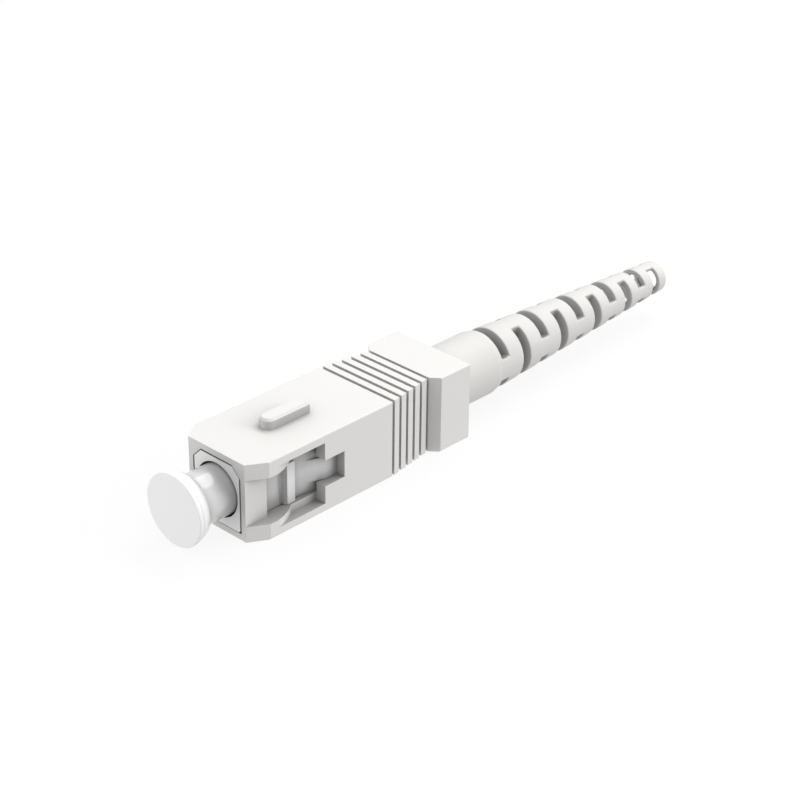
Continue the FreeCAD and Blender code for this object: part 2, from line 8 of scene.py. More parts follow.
import bmesh
import bpy
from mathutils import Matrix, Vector


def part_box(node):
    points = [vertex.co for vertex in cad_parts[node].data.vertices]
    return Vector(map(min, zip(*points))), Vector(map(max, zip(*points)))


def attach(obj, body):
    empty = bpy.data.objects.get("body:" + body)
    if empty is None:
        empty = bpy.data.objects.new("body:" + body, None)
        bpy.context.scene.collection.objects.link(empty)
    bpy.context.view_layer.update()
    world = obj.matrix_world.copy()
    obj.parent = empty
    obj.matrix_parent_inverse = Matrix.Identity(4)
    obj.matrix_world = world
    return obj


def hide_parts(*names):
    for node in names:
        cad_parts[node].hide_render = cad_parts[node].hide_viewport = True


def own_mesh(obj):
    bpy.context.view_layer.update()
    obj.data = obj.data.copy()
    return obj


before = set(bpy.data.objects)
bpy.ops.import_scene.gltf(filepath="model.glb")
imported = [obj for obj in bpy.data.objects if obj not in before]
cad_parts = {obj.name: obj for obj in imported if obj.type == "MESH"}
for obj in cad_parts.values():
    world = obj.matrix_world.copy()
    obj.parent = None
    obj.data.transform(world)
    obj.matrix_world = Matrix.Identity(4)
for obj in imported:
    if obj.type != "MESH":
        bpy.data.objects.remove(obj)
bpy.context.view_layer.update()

MM = 0.001

# ------------------------------------------------- sizes, in mm and degrees
WELD = 0.0005           # corners closer than this are joined
FLAT = 0.6              # faces that turn by less than this are merged
SHARP = 28              # edges that turn by more than this are rounded
EDGE_STEPS = 3
GRIP_EDGE = 0.07
FRAME_EDGE = 0.045
FLAT_WEIGHT = 80

MOULD_CREASE = 32
CAP_CREASE = 34
TUBE_CREASE = 40

# the grip's key, whose solid is drawn above the height "level"
KEY = {
    "nose": 5.91, "end": 9.73, "level": 4.53, "rim": 0.1,
    "inset": 0.855, "drop": 0.1,
}

# the grip's grooves, in the solid and as moulded
GROOVES = 6
DRAWN = {"start": 15.9, "first": 16.0, "pitch": 0.985, "width": 0.5, "end": 21.41}
MOULDED = {"first": 16.16, "pitch": 1.011, "width": 0.356, "end": 21.54}
BLOCK_START = 22.29

# the frame's mouth in the solid, and how much closer it fits as moulded
MOUTH = {
    "end": 9.9, "side": 2.69, "cut_side": 1.88, "top": 2.92, "cut_top": 2.11,
    "cut_from_z": 2.9, "cut_from_y": 2.6, "bottom": -3.02,
    "near": 0.01, "fit": 0.05,
}
SOCKET = {"radius": 2.48, "near": 0.015, "grow": 1.018}

# the back end of a side ramp in the solid, and how far it is carried
RAMP = {
    "from_x": 8.0, "to_x": 8.8, "from_y": 2.65, "to_y": 3.3, "foot": 2.75,
    "back": 0.65, "out": 0.11,
}

BOOT = {
    "front": 24.4, "plain_end": 31.6, "end": 57.85,
    "plain_r": 3.1, "cone_r": 3.01, "tip_r": 1.56,
    "wide_bore": 2.35, "narrow_bore": 1.68, "cable_bore": 1.25, "tail_bore": 1.05,
    "wide_end": 26.6, "narrow_end": 31.3, "tail_ring": 0.95,
}
SLOT = {
    "first": 32.3, "width": 1.03, "pitch": 2.98, "shrink": 0.965,
    "half_arc": 68.0, "pairs": 10,
}
SLOT_ROUND = 0.13       # radius of the edges along a flex slot
SLOT_CORNER = 0.27      # radius of the corners at its ends
CORNER_SWING = 5.0      # the most that a corner may take of the slot's arc
END_ROUND = 0.12        # radius of the boot's ends
STEP_FADE = 0.12        # length over which the plain part falls to the cone
BORE_STEP = 0.01        # length of a step in the bore

# where the boot's mesh has its lines: shares of a radius, mm, then degrees
EDGE_SHARES = (0, 0.12, 0.3, 0.6, 1)
CORNER_SHARES = (0.06, 0.2, 0.45, 1)
STEP_RINGS = (-0.08, 0.0, 0.06, 0.12)
PLAIN_RINGS = (27.8, 29.2, 30.4)
LINE_PITCH = 4
END_LINES = (0, 0.5, 1.1, 1.9, 2.9, 4.0)
END_ROOM = 0.5
LEAST_TURN = 0.35
SAME_WAY = 0.01

CAP_STEPS = 128
ARC_STEPS = 6
CAP_FACE = -4.76
CAP_NECK_R = 2.34
CAP_NECK_END = 0.5
CAP_TUBE_R = 1.9
CAP_TUBE_END = 4.6
CAP_BORE_R = 1.27
CAP_BORE_END = -1.25

SPRING = {"wire": 0.22, "coil": 1.6, "turns": 4, "steps": 56, "sides": 12, "travel": 1.2}


# --------------------------------------------------------------- mesh helpers
def add_mesh(name, bm):
    """A new object from mesh data in mm."""
    bmesh.ops.recalc_face_normals(bm, faces=bm.faces)
    bmesh.ops.scale(bm, vec=Vector((MM, MM, MM)), verts=bm.verts)
    mesh = bpy.data.meshes.new(name)
    bm.to_mesh(mesh)
    bm.free()
    obj = bpy.data.objects.new(name, mesh)
    bpy.context.scene.collection.objects.link(obj)
    return obj


def is_sharp(edge, limit):
    """Whether two faces meet at an edge at more than the limit, in radians."""
    return len(edge.link_faces) == 2 and edge.calc_face_angle(0.0) > limit


def smooth_by_angle(obj, degrees):
    """Smooth shading, with a crease wherever two faces meet at more than the angle."""
    bm = bmesh.new()
    bm.from_mesh(obj.data)
    for face in bm.faces:
        face.smooth = True
    for edge in bm.edges:
        edge.smooth = not is_sharp(edge, math.radians(degrees))
    bm.to_mesh(obj.data)
    bm.free()
    weighted = obj.modifiers.new("flat_faces_stay_flat", "WEIGHTED_NORMAL")
    weighted.keep_sharp = True
    weighted.weight = FLAT_WEIGHT


def softened(node, name, width, trim):
    """A CAD piece again, with details trimmed and sharp edges rounded as a mould leaves them."""
    bm = bmesh.new()
    bm.from_mesh(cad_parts[node].data)
    bmesh.ops.scale(bm, vec=Vector((1 / MM,) * 3), verts=bm.verts)
    bmesh.ops.remove_doubles(bm, verts=bm.verts, dist=WELD)
    for vert in bm.verts:
        vert.co = trim(vert.co)
    bmesh.ops.dissolve_limit(
        bm, angle_limit=math.radians(FLAT), use_dissolve_boundaries=False,
        verts=bm.verts, edges=bm.edges, delimit=set())
    bm.normal_update()
    sharp = [edge for edge in bm.edges if is_sharp(edge, math.radians(SHARP))]
    bmesh.ops.bevel(
        bm, geom=sharp, offset=width, offset_type="OFFSET", segments=EDGE_STEPS,
        profile=0.5, affect="EDGES", clamp_overlap=True, miter_outer="ARC")
    obj = add_mesh(name, bm)
    smooth_by_angle(obj, MOULD_CREASE)
    return obj


# --------------------------------------------------- trims of grip and frame
def groove_line():
    """Pairs of x on the CAD grip and on the moulded one, whose grooves are narrower."""
    pairs = [(DRAWN["start"], DRAWN["start"])]
    for number in range(GROOVES):
        drawn = DRAWN["first"] + DRAWN["pitch"] * number
        moulded_x = MOULDED["first"] + MOULDED["pitch"] * number
        pairs.append((drawn, moulded_x))
        if number < GROOVES - 1:
            pairs.append((drawn + DRAWN["width"], moulded_x + MOULDED["width"]))
    pairs += [(DRAWN["end"], MOULDED["end"]), (BLOCK_START, BLOCK_START)]
    return pairs


GROOVE_LINE = groove_line()


def trim_grip(co):
    """Grip grooves at their moulded width, and a rounder rim on the key."""
    if co.z > KEY["level"] + KEY["rim"]:
        past = co.x - KEY["nose"]
        x = KEY["nose"] + min(past, 0) * KEY["inset"] + max(past, 0)
        return Vector((min(x, KEY["end"]), co.y * KEY["inset"], co.z))
    if co.z > KEY["level"]:
        return Vector((co.x, co.y, co.z - KEY["drop"]))
    for (low, low_to), (high, high_to) in zip(GROOVE_LINE, GROOVE_LINE[1:]):
        if low <= co.x < high:
            share = (co.x - low) / (high - low)
            return Vector((low_to + (high_to - low_to) * share, co.y, co.z))
    return co


def fit_mouth(co):
    """A corner of the frame's front part, moved out to fill the grip's mouth."""
    def at(value, place):
        return abs(value - place) < MOUTH["near"]

    across = abs(co.y)
    wider = at(across, MOUTH["side"]) or (
        at(across, MOUTH["cut_side"]) and co.z > MOUTH["cut_from_z"])
    higher = at(co.z, MOUTH["top"]) or (
        at(co.z, MOUTH["cut_top"]) and across > MOUTH["cut_from_y"])
    lower = at(co.z, MOUTH["bottom"])
    y = co.y + math.copysign(MOUTH["fit"] * wider, co.y)
    z = co.z + MOUTH["fit"] * (higher - lower)
    if abs(math.hypot(y, z) - SOCKET["radius"]) < SOCKET["near"]:
        y *= SOCKET["grow"]
        z *= SOCKET["grow"]
    return Vector((co.x, y, z))


def trim_frame(co):
    """A closer fit in the grip's mouth, and side ramps carried back, under the grip's wall."""
    if co.x < MOUTH["end"]:
        co = fit_mouth(co)
    across = abs(co.y)
    if RAMP["from_x"] < co.x < RAMP["to_x"] and RAMP["from_y"] < across < RAMP["to_y"]:
        out = RAMP["out"] if across > RAMP["foot"] else 0.0
        return Vector((co.x + RAMP["back"], co.y + math.copysign(out, co.y), co.z))
    return co


# ------------------------------------------------------------------ the boot
def slot_list():
    """Every flex slot as (front x, back x, middle angle)."""
    slots = []
    front = SLOT["first"]
    step = SLOT["pitch"]
    for number in range(SLOT["pairs"]):
        middle = 90.0 if number % 2 == 0 else 0.0
        for half in (0.0, 180.0):
            slots.append((front, front + SLOT["width"], middle + half))
        front += step
        step *= SLOT["shrink"]
    return slots


def slot_ends(slots):
    """The directions in which slots end, each with its side: 1 after the slot, -1 before it."""
    return sorted({
        (middle + side * SLOT["half_arc"], side)
        for _, _, middle in slots for side in (-1, 1)})


def boot_radius(x):
    """Outer radius of the plain boot."""
    past = x - BOOT["plain_end"]
    if past <= 0:
        return BOOT["plain_r"]
    share = past / (BOOT["end"] - BOOT["plain_end"])
    cone = BOOT["cone_r"] + (BOOT["tip_r"] - BOOT["cone_r"]) * share
    step = BOOT["plain_r"] - BOOT["cone_r"]
    return cone + step * max(1 - past / STEP_FADE, 0) ** 2


def bore_radius(x):
    """Inner radius of the boot."""
    if x <= BOOT["wide_end"]:
        return BOOT["wide_bore"]
    if x <= BOOT["narrow_end"]:
        return BOOT["narrow_bore"]
    if x <= BOOT["end"] - BOOT["tail_ring"]:
        return BOOT["cable_bore"]
    return BOOT["tail_bore"]


def angle_between(a, b):
    """Smallest angle between two directions, in degrees."""
    return abs((a - b + 180) % 360 - 180)


def round_off(distance, radius):
    """How far a rounded edge has fallen at a distance from it."""
    if distance >= radius:
        return 0.0
    inside = radius - distance
    return radius - math.sqrt(radius * radius - inside * inside)


def boot_stations(slots):
    """Where the rings of the boot's mesh lie along the axis."""
    places = list(PLAIN_RINGS)
    for front, back, _ in slots:
        for share in EDGE_SHARES:
            places += [front - SLOT_ROUND * share, back + SLOT_ROUND * share]
        for share in CORNER_SHARES:
            places += [front + SLOT_CORNER * share, back - SLOT_CORNER * share]
    for share in EDGE_SHARES:
        places += [BOOT["front"] + END_ROUND * share, BOOT["end"] - END_ROUND * share]
    for x in (BOOT["wide_end"], BOOT["narrow_end"], BOOT["end"] - BOOT["tail_ring"]):
        places += [x, x + BORE_STEP]
    places += [BOOT["plain_end"] + offset for offset in STEP_RINGS]
    return sorted({round(x, 5) for x in places})


def boot_angles(slots):
    """Directions of the lines along the boot's mesh, in degrees."""
    ends = slot_ends(slots)
    places = set()
    for place in range(0, 360, LINE_PITCH):
        if all(angle_between(place, end) > CORNER_SWING + END_ROOM for end, _ in ends):
            places.add(place)
    for end, side in ends:
        for offset in END_LINES:
            places.add(round((end + side * offset) % 360, 3))
    kept = []
    for place in sorted(places):
        exact = any(angle_between(place, end) < SAME_WAY for end, _ in ends)
        if kept and place - kept[-1][0] < LEAST_TURN:
            if exact and not kept[-1][1]:
                kept[-1] = (place, exact)
            continue
        kept.append((place, exact))
    return [place for place, _ in kept]


def corner_turn(x, angle, radius, near):
    """How far a flex slot's end turns inwards, in degrees, where its corners are rounded."""
    for front, back, middle in near:
        if not front - 1e-4 < x < back + 1e-4:
            continue
        for side in (-1, 1):
            if angle_between(angle, middle + side * SLOT["half_arc"]) < SAME_WAY:
                corner = min(SLOT_CORNER, math.radians(CORNER_SWING) * radius)
                depth = max(min(x - front, back - x), 0)
                return -side * math.degrees(round_off(depth, corner) / radius)
    return 0.0


def boot_rings(bm, x, angles, slots):
    """The outer and the inner ring of the boot's mesh at x, with the slots' edges rounded."""
    base = boot_radius(x) - round_off(min(x - BOOT["front"], BOOT["end"] - x), END_ROUND)
    bore = bore_radius(x)
    near = [s for s in slots if s[0] - SLOT_ROUND < x < s[1] + SLOT_ROUND]
    outer = []
    inner = []
    for angle in angles:
        radius = base
        for front, back, middle in near:
            along = max(front - x, x - back, 0)
            swing = max(angle_between(angle, middle) - SLOT["half_arc"], 0)
            distance = math.hypot(along, math.radians(swing) * base)
            radius = min(radius, base - round_off(distance, SLOT_ROUND))
        way = math.radians(angle + corner_turn(x, angle, base, near))
        outer.append(bm.verts.new((x, radius * math.cos(way), radius * math.sin(way))))
        inner.append(bm.verts.new((x, bore * math.cos(way), bore * math.sin(way))))
    return outer, inner


def make_boot():
    """Slotted boot: a tube whose cells inside the flex slots are left open."""
    slots = slot_list()
    stations = boot_stations(slots)
    angles = boot_angles(slots)
    bm = bmesh.new()
    rings = [boot_rings(bm, x, angles, slots) for x in stations]
    rows = len(stations) - 1
    columns = len(angles)

    def is_open(row, column):
        x = (stations[row] + stations[row + 1]) / 2
        here = angles[column]
        angle = here + ((angles[(column + 1) % columns] - here) % 360) / 2
        return any(
            front < x < back and angle_between(angle, middle) < SLOT["half_arc"]
            for front, back, middle in slots)

    opened = [[is_open(row, column) for column in range(columns)] for row in range(rows)]
    for row in range(rows):
        outer, inner = rings[row]
        outer_next, inner_next = rings[row + 1]
        for column in range(columns):
            if opened[row][column]:
                continue
            ahead = (column + 1) % columns
            # the cell's four corners, outside and inside
            out_a, out_b = outer[column], outer[ahead]
            out_c, out_d = outer_next[ahead], outer_next[column]
            in_a, in_b = inner[column], inner[ahead]
            in_c, in_d = inner_next[ahead], inner_next[column]
            bm.faces.new((out_a, out_b, out_c, out_d))
            bm.faces.new((in_a, in_d, in_c, in_b))
            if row == 0 or opened[row - 1][column]:
                bm.faces.new((out_a, in_a, in_b, out_b))
            if row == rows - 1 or opened[row + 1][column]:
                bm.faces.new((out_c, in_c, in_d, out_d))
            if opened[row][column - 1]:
                bm.faces.new((out_d, in_d, in_a, out_a))
            if opened[row][ahead]:
                bm.faces.new((out_b, in_b, in_c, out_c))
    for vert in [v for v in bm.verts if not v.link_faces]:
        bm.verts.remove(vert)
    obj = add_mesh("slotted_boot", bm)
    smooth_by_angle(obj, TUBE_CREASE)
    return obj


# ------------------------------------------------------------------- the cap
def rounded_line(corners):
    """Line through corners (x, r, radius), with an arc of that radius at each one."""
    line = []
    last = len(corners) - 1
    for place, (x, r, radius) in enumerate(corners):
        here = Vector((x, r))
        if radius == 0 or place in (0, last):
            line.append(here)
            continue
        back = (Vector(corners[place - 1][:2]) - here).normalized()
        ahead = (Vector(corners[place + 1][:2]) - here).normalized()
        half = back.angle(ahead) / 2
        first = here + back * (radius / math.tan(half))
        second = here + ahead * (radius / math.tan(half))
        middle = here + (back + ahead).normalized() * (radius / math.sin(half))
        start = math.atan2(first.y - middle.y, first.x - middle.x)
        turn = math.atan2(second.y - middle.y, second.x - middle.x) - start
        turn = (turn + math.pi) % (2 * math.pi) - math.pi
        for step in range(ARC_STEPS + 1):
            angle = start + turn * step / ARC_STEPS
            line.append(middle + Vector((math.cos(angle), math.sin(angle))) * radius)
    return line


def turned(name, line):
    """A closed line of (x, r) points turned about the ferrule axis."""
    bm = bmesh.new()
    rings = []
    for x, r in line:
        # a point on the axis closes the piece there
        steps = CAP_STEPS if r > 1e-6 else 1
        ways = [2 * math.pi * step / CAP_STEPS for step in range(steps)]
        rings.append([bm.verts.new((x, r * math.cos(way), r * math.sin(way))) for way in ways])
    for place, ring in enumerate(rings):
        after = rings[(place + 1) % len(rings)]
        if len(ring) == 1 and len(after) == 1:
            continue
        for step in range(CAP_STEPS):
            ahead = (step + 1) % CAP_STEPS
            if len(ring) == 1:
                bm.faces.new((ring[0], after[step], after[ahead]))
            elif len(after) == 1:
                bm.faces.new((ring[step], after[0], ring[ahead]))
            else:
                bm.faces.new((ring[step], after[step], after[ahead], ring[ahead]))
    obj = add_mesh(name, bm)
    smooth_by_angle(obj, CAP_CREASE)
    return obj


def make_cap():
    """Dust cap: a flat round end with a rim, a bell that falls to the neck, and a tube."""
    return turned("dust_cap_shell", rounded_line([
        # the round end and its rim
        (CAP_FACE, 0, 0),
        (CAP_FACE, 3.33, 0.09),
        (CAP_FACE + 0.4, 3.33, 0.06),
        # the bell
        (CAP_FACE + 0.46, 3.27, 0),
        (CAP_FACE + 0.80, 3.215, 0),
        (CAP_FACE + 1.10, 3.12, 0),
        (CAP_FACE + 1.38, 2.975, 0),
        # the neck
        (CAP_FACE + 1.92, CAP_NECK_R, 0.25),
        (CAP_NECK_END, CAP_NECK_R, 0.08),
        # the tube, outside and inside
        (CAP_NECK_END, CAP_TUBE_R, 0),
        (CAP_TUBE_END, CAP_TUBE_R, 0.15),
        (CAP_TUBE_END, CAP_BORE_R, 0.1),
        (CAP_BORE_END, CAP_BORE_R, 0),
        (CAP_BORE_END, 0, 0),
    ]))


# ---------------------------------------------------------------- the spring
def make_spring(low, high):
    """Round wire wound between the ferrule's flange and the stop ring, with x in mm."""
    bm = bmesh.new()
    wire = SPRING["wire"]
    rise = high - low - 2 * wire
    total = SPRING["turns"] * SPRING["steps"]
    rings = []
    for step in range(total + 1):
        turn = 2 * math.pi * step / SPRING["steps"]
        out = Vector((0, math.sin(turn), math.cos(turn)))
        middle = Vector((low + wire + rise * step / total, 0, 0)) + out * SPRING["coil"]
        ring = []
        for side in range(SPRING["sides"]):
            way = 2 * math.pi * side / SPRING["sides"]
            offset = out * math.cos(way) + Vector((math.sin(way), 0, 0))
            ring.append(bm.verts.new(middle + offset * wire))
        rings.append(ring)
    for ring, after in zip(rings, rings[1:]):
        for side in range(SPRING["sides"]):
            ahead = (side + 1) % SPRING["sides"]
            bm.faces.new((ring[side], ring[ahead], after[ahead], after[side]))
    bm.faces.new(rings[0])
    bm.faces.new(rings[-1])
    obj = add_mesh("coil_spring", bm)
    smooth_by_angle(obj, TUBE_CREASE)
    return obj


# --------------------------------------------------------------- node helpers
def new_group(name, inputs, outputs):
    """An empty shader group with its sockets."""
    group = bpy.data.node_groups.new(name, "ShaderNodeTree")
    for label, kind, value in inputs:
        socket = group.interface.new_socket(name=label, in_out="INPUT", socket_type=kind)
        socket.default_value = value
    for label, kind in outputs:
        group.interface.new_socket(name=label, in_out="OUTPUT", socket_type=kind)
    start = group.nodes.new("NodeGroupInput")
    stop = group.nodes.new("NodeGroupOutput")
    return group, start, stop


def feed(tree, item, socket):
    """Put a number on a socket, or link another socket to it."""
    if isinstance(item, (int, float)):
        socket.default_value = item
    else:
        tree.links.new(item, socket)


def math_node(tree, operation, first, second):
    """A Math node of two values, each a socket or a number."""
    node = tree.nodes.new("ShaderNodeMath")
    node.operation = operation
    feed(tree, first, node.inputs[0])
    feed(tree, second, node.inputs[1])
    return node.outputs[0]


def weighted_sum(tree, first, first_share, second, second_share):
    """Two values added, each by its share."""
    return math_node(
        tree, "ADD",
        math_node(tree, "MULTIPLY", first, first_share),
        math_node(tree, "MULTIPLY", second, second_share))


def varied(tree, value, noise, amount):
    """A value that a noise raises and lowers by up to half the amount."""
    centred = math_node(tree, "SUBTRACT", noise, 0.5)
    return math_node(tree, "ADD", math_node(tree, "MULTIPLY", centred, amount), value)


def noise_node(tree, coordinates, scale, detail):
    """A noise texture's factor."""
    node = tree.nodes.new("ShaderNodeTexNoise")
    tree.links.new(coordinates, node.inputs["Vector"])
    feed(tree, scale, node.inputs["Scale"])
    node.inputs["Detail"].default_value = detail
    return node.outputs["Fac"]


# ---------------------------------------------------------------- node groups
COARSE_SCALE = 1400.0
CLOUD_SCALE = 160.0
FINE_HEIGHT = 0.7       # how much of the height is fine grain
FINE_TONE = 0.65        # how much of the tone is fine grain
UNSHADED_POWER = 8.0       # how squarely a face has to lie across the axis to be left out of the painted shade
RING_GLOSS = 0.25


def build_mould_grain():
    """Spark-eroded mould texture: a fine grain as a height, a tone and a gloss change, with
    painted shade multiplied into the colour.
    """
    group, start, stop = new_group(
        "mould_grain",
        [("Grain Scale", "NodeSocketFloat", 9000.0),
         ("Tone Amount", "NodeSocketFloat", 0.04),
         ("Gloss Amount", "NodeSocketFloat", 0.08),
         ("Colour", "NodeSocketColor", (0.7, 0.7, 0.7, 1)),
         ("Roughness", "NodeSocketFloat", 0.5),
         ("Shade", "NodeSocketFloat", 1.0)],
        [("Height", "NodeSocketFloat"),
         ("Colour", "NodeSocketColor"),
         ("Roughness", "NodeSocketFloat")])
    given = start.outputs
    place = group.nodes.new("ShaderNodeTexCoord").outputs["Object"]
    fine = noise_node(group, place, given["Grain Scale"], 2.0)
    coarse = noise_node(group, place, COARSE_SCALE, 3.0)
    cloud = noise_node(group, place, CLOUD_SCALE, 2.0)
    height = weighted_sum(group, fine, FINE_HEIGHT, coarse, 1 - FINE_HEIGHT)
    group.links.new(height, stop.inputs["Height"])
    speckle = weighted_sum(group, fine, FINE_TONE, cloud, 1 - FINE_TONE)
    factor = varied(group, 1.0, speckle, given["Tone Amount"])
    # painted shade from the crevice mask darkens the colour here
    factor = math_node(group, "MULTIPLY", factor, given["Shade"])
    tint = group.nodes.new("ShaderNodeVectorMath")
    tint.operation = "SCALE"
    group.links.new(given["Colour"], tint.inputs[0])
    group.links.new(factor, tint.inputs["Scale"])
    group.links.new(tint.outputs["Vector"], stop.inputs["Colour"])
    gloss = varied(group, given["Roughness"], cloud, given["Gloss Amount"])
    group.links.new(gloss, stop.inputs["Roughness"])
    return group


def build_crevice_shade():
    """A mask of painted shade: 1 on open faces, falling in corners, gaps and recesses from
    ambient occlusion.

    One input sets how far the faces across the axis are left out of this painted shade.
    """
    group, start, stop = new_group(
        "crevice_shade",
        [("Reach", "NodeSocketFloat", 0.003),
         ("Depth", "NodeSocketFloat", 1.0),
         ("Clean", "NodeSocketFloat", 0.0),
         ("Darkest", "NodeSocketFloat", 0.0)],
        [("Shade", "NodeSocketFloat")])
    given = start.outputs
    # ambient occlusion, later multiplied into the base colour as painted shade
    near = group.nodes.new("ShaderNodeAmbientOcclusion")
    near.samples = 12
    group.links.new(given["Reach"], near.inputs["Distance"])
    normal = group.nodes.new("ShaderNodeTexCoord").outputs["Normal"]
    split = group.nodes.new("ShaderNodeSeparateXYZ")
    group.links.new(normal, split.inputs[0])
    facing = math_node(group, "ABSOLUTE", split.outputs["X"], 0.0)
    across = math_node(group, "POWER", facing, UNSHADED_POWER)
    shade_lifted = math_node(group, "MULTIPLY", across, given["Clean"])
    shaded_share = math_node(group, "SUBTRACT", 1.0, shade_lifted)
    depth = math_node(group, "MULTIPLY", shaded_share, given["Depth"])
    open_sky = math_node(group, "MAXIMUM", near.outputs["AO"], given["Darkest"])
    group.links.new(math_node(group, "POWER", open_sky, depth), stop.inputs["Shade"])
    return group


def build_turning_marks():
    """Rings that a lathe tool leaves round the axis, as a height and a roughness."""
    group, start, stop = new_group(
        "turning_marks",
        [("Ring Scale", "NodeSocketFloat", 4000.0),
         ("Roughness", "NodeSocketFloat", 0.3)],
        [("Height", "NodeSocketFloat"),
         ("Roughness", "NodeSocketFloat")])
    given = start.outputs
    place = group.nodes.new("ShaderNodeTexCoord").outputs["Object"]
    split = group.nodes.new("ShaderNodeSeparateXYZ")
    group.links.new(place, split.inputs[0])
    along = group.nodes.new("ShaderNodeCombineXYZ")
    group.links.new(split.outputs["X"], along.inputs["X"])
    rings = noise_node(group, along.outputs[0], given["Ring Scale"], 3.0)
    group.links.new(rings, stop.inputs["Height"])
    gloss = varied(group, given["Roughness"], rings, RING_GLOSS)
    group.links.new(gloss, stop.inputs["Roughness"])
    return group


mould_grain = build_mould_grain()
crevice_shade = build_crevice_shade()
turning_marks = build_turning_marks()

# ----------------------------------------------------------------- materials
RELIEF = 0.00002        # height of the grain and the tool marks, in metres


def new_material(name):
    """A material with its node tree and its shader."""
    material = bpy.data.materials.new(name)
    material.use_nodes = True
    tree = material.node_tree
    return material, tree, tree.nodes["Principled BSDF"]


def add_effect(tree, group, **values):
    """A node group in a material, with values on its sockets."""
    effect = tree.nodes.new("ShaderNodeGroup")
    effect.node_tree = group
    for socket, value in values.items():
        effect.inputs[socket.replace("_", " ")].default_value = value
    return effect


def add_relief(tree, shader, height, strength):
    """A bump from a height."""
    relief = tree.nodes.new("ShaderNodeBump")
    relief.inputs["Strength"].default_value = strength
    relief.inputs["Distance"].default_value = RELIEF
    tree.links.new(height, relief.inputs["Height"])
    tree.links.new(relief.outputs["Normal"], shader.inputs["Normal"])


def moulded(name, colour, roughness, grain, tone, bump,
            shade=0.5, reach=3.0, unshaded=0.0, darkest=0.0, specular=0.5):
    """A moulded plastic with mould grain, and painted shade that darkens its crevices within
    reach, in mm.
    """
    material, tree, shader = new_material(name)
    effect = add_effect(
        tree, mould_grain, Grain_Scale=grain, Tone_Amount=tone,
        Colour=(*colour, 1), Roughness=roughness)
    crevice = add_effect(
        tree, crevice_shade, Depth=shade, Reach=reach * MM, Clean=unshaded, Darkest=darkest)
    # painted shade goes into the base colour through the grain's Shade input
    tree.links.new(crevice.outputs["Shade"], effect.inputs["Shade"])
    tree.links.new(effect.outputs["Colour"], shader.inputs["Base Color"])
    tree.links.new(effect.outputs["Roughness"], shader.inputs["Roughness"])
    shader.inputs["Specular IOR Level"].default_value = specular
    add_relief(tree, shader, effect.outputs["Height"], bump)
    return material


def machined(name, colour, roughness, rings, bump):
    """A turned or drawn metal with tool marks."""
    material, tree, shader = new_material(name)
    shader.inputs["Metallic"].default_value = 1.0
    effect = add_effect(tree, turning_marks, Ring_Scale=rings, Roughness=roughness)
    grain = add_effect(tree, mould_grain, Colour=(*colour, 1), Tone_Amount=0.1)
    tree.links.new(grain.outputs["Colour"], shader.inputs["Base Color"])
    tree.links.new(effect.outputs["Roughness"], shader.inputs["Roughness"])
    add_relief(tree, shader, effect.outputs["Height"], bump)
    return material


def paint(obj, material):
    """One finish all over a piece."""
    obj.data.materials.clear()
    obj.data.materials.append(material)
    for face in obj.data.polygons:
        face.material_index = 0


# the shade settings of each plastic set how much shade is painted into its crevices and gaps
warm_white = moulded(
    "grip_plastic", (0.685, 0.675, 0.660), roughness=0.46, grain=9000, tone=0.05, bump=0.25,
    shade=0.85, reach=6.0, unshaded=0.6, darkest=0.3)
frame_white = moulded(
    "frame_plastic", (0.80, 0.80, 0.80), roughness=0.30, grain=11000, tone=0.03, bump=0.12,
    shade=1.9, reach=3.0, unshaded=1.0, darkest=0.62)
boot_rubber = moulded(
    "boot_elastomer", (0.615, 0.605, 0.590), roughness=0.58, grain=8000, tone=0.05, bump=0.3,
    shade=0.6, reach=2.0)
cap_white = moulded(
    "cap_plastic", (0.88, 0.88, 0.88), roughness=0.08, grain=7000, tone=0.01, bump=0.02,
    shade=3.6, reach=9.0, unshaded=0.6, darkest=0.83, specular=0.45)
zirconia = moulded(
    "zirconia", (0.86, 0.86, 0.84), roughness=0.10, grain=12000, tone=0.02, bump=0.02)
tube_white = moulded(
    "tube_plastic", (0.80, 0.80, 0.78), roughness=0.30, grain=9000, tone=0.03, bump=0.05)
flange_steel = machined(
    "flange_metal", (0.62, 0.61, 0.59), roughness=0.28, rings=6000, bump=0.3)
spring_steel = machined(
    "spring_steel", (0.55, 0.55, 0.55), roughness=0.30, rings=9000, bump=0.2)
nickel = machined(
    "plated_brass", (0.66, 0.62, 0.54), roughness=0.24, rings=5000, bump=0.3)
sleeve_metal = machined(
    "sleeve_metal", (0.68, 0.66, 0.60), roughness=0.34, rings=3500, bump=0.3)

# ---------------------------------------------------------------- the pieces
grip_shell = softened("outer_housing", "grip_shell", GRIP_EDGE, trim_grip)
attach(grip_shell, "grip")
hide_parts("outer_housing")
paint(grip_shell, warm_white)

inner_frame = softened("plug_frame", "inner_frame", FRAME_EDGE, trim_frame)
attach(inner_frame, "plug")
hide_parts("plug_frame")
paint(inner_frame, frame_white)

boot = make_boot()
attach(boot, "plug")
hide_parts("boot")
paint(boot, boot_rubber)

cap = make_cap()
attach(cap, "cap")
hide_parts("dust_cap")
paint(cap, cap_white)

spring_low, spring_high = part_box("spring")
spring = make_spring(spring_low.x / MM, spring_high.x / MM)
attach(spring, "plug")
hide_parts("spring")
paint(spring, spring_steel)
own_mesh(spring)

for node, finish in (
    ("ferrule", zirconia),
    ("ferrule_flange", flange_steel),
    ("lead_in_tube", tube_white),
    ("stop_ring", nickel),
    ("crimp_sleeve", sleeve_metal),
):
    paint(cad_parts[node], finish)

# ---------------------------------------------------------------- the studio
FLOOR_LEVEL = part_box("outer_housing")[0].z / MM
FLOOR_GAP = 0.002
FLOOR_HALF = 2000
FLOOR_CELLS = 8
FLOOR_TONE = 0.80
FLOOR_GLOW = 0.88       # how much of the floor is plain white where it is seen
MIDDLE_X = 20           # about the middle of the plug


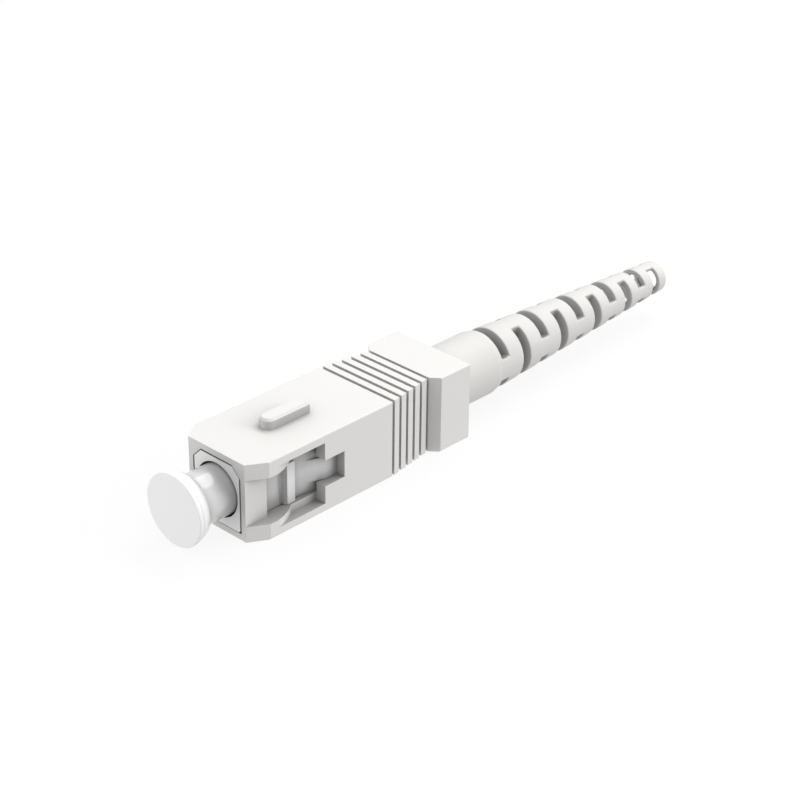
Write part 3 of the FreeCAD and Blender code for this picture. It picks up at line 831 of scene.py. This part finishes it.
def looked_at(tree):
    """1 where a ray comes straight from the camera, off a gloss or through glass."""
    seen = tree.nodes.new("ShaderNodeLightPath")
    direct = math_node(
        tree, "MAXIMUM", seen.outputs["Is Camera Ray"], seen.outputs["Is Glossy Ray"])
    return math_node(tree, "MAXIMUM", direct, seen.outputs["Is Transmission Ray"])


def make_floor():
    """A wide pale floor under the grip."""
    bm = bmesh.new()
    bmesh.ops.create_grid(
        bm, x_segments=FLOOR_CELLS, y_segments=FLOOR_CELLS, size=FLOOR_HALF)
    bmesh.ops.translate(
        bm, vec=Vector((MIDDLE_X, 0, FLOOR_LEVEL - FLOOR_GAP)), verts=bm.verts)
    floor = add_mesh("floor", bm)
    material = bpy.data.materials.new("studio_floor")
    material.use_nodes = True
    tree = material.node_tree
    tree.nodes.clear()
    out = tree.nodes.new("ShaderNodeOutputMaterial")
    matt = tree.nodes.new("ShaderNodeBsdfDiffuse")
    matt.inputs["Color"].default_value = (FLOOR_TONE, FLOOR_TONE, FLOOR_TONE, 1)
    glow = tree.nodes.new("ShaderNodeEmission")
    glow.inputs["Color"].default_value = (1, 1, 1, 1)
    glow.inputs["Strength"].default_value = 1.0
    mix = tree.nodes.new("ShaderNodeMixShader")
    share = math_node(tree, "MULTIPLY", looked_at(tree), FLOOR_GLOW)
    tree.links.new(share, mix.inputs["Fac"])
    tree.links.new(matt.outputs[0], mix.inputs[1])
    tree.links.new(glow.outputs[0], mix.inputs[2])
    tree.links.new(mix.outputs[0], out.inputs["Surface"])
    paint(floor, material)
    floor.visible_diffuse = False
    floor.visible_shadow = False


def make_world(level, above, below):
    """Soft room light, by its strength at the horizon, overhead and underneath.

    It is white where it is seen or mirrored.
    """
    world = bpy.data.worlds.new("studio")
    world.use_nodes = True
    tree = world.node_tree
    back = tree.nodes["Background"]
    back.inputs["Color"].default_value = (1, 1, 1, 1)
    way = tree.nodes.new("ShaderNodeSeparateXYZ")
    tree.links.new(tree.nodes.new("ShaderNodeTexCoord").outputs["Generated"], way.inputs[0])
    up = math_node(tree, "MAXIMUM", way.outputs["Z"], 0.0)
    down = math_node(tree, "MINIMUM", way.outputs["Z"], 0.0)
    soft = weighted_sum(tree, up, above - level, down, level - below)
    soft = math_node(tree, "ADD", soft, level)
    missing = math_node(tree, "SUBTRACT", 1.0, soft)
    missing = math_node(tree, "MULTIPLY", missing, looked_at(tree))
    tree.links.new(math_node(tree, "ADD", missing, soft), back.inputs["Strength"])
    bpy.context.scene.world = world


def add_lamp(name, place, aim, size, watts, mirrored):
    """A soft box, with lengths in mm. One that isn't mirrored leaves no highlight."""
    data = bpy.data.lights.new(name, "AREA")
    data.shape = "RECTANGLE"
    data.size = size[0] * MM
    data.size_y = size[1] * MM
    data.energy = watts
    lamp = bpy.data.objects.new(name, data)
    lamp.visible_glossy = mirrored
    lamp.location = Vector(place) * MM
    way = (Vector(aim) - Vector(place)).normalized()
    lamp.rotation_euler = way.to_track_quat("-Z", "Y").to_euler()
    bpy.context.scene.collection.objects.link(lamp)


make_floor()
make_world(level=0.36, above=1.2, below=0.75)
add_lamp("overhead", (260, 31, 370), (0, 0, 0), (430, 170), 0.87, mirrored=True)
add_lamp("near_side", (250, -320, 130), (MIDDLE_X, 0, 0), (260, 200), 0.78, mirrored=False)
add_lamp("front", (-370, 150, -60), (MIDDLE_X, 0, 0), (260, 260), 0.53, mirrored=False)

# ---------------------------------------------------------------- the camera
camera = bpy.data.cameras.new("camera")
camera.lens = 101.392
camera.sensor_width = 36.0
camera.clip_start = 0.01
camera.clip_end = 10.0
eye = bpy.data.objects.new("camera", camera)
eye.rotation_mode = "QUATERNION"
eye.rotation_quaternion = (0.7935304, 0.4670611, -0.2023335, -0.3335034)
eye.location = Vector((-104.9105, -121.3846, 96.4513)) * MM
bpy.context.scene.collection.objects.link(eye)
bpy.context.scene.camera = eye
bpy.context.scene.view_settings.view_transform = "Standard"
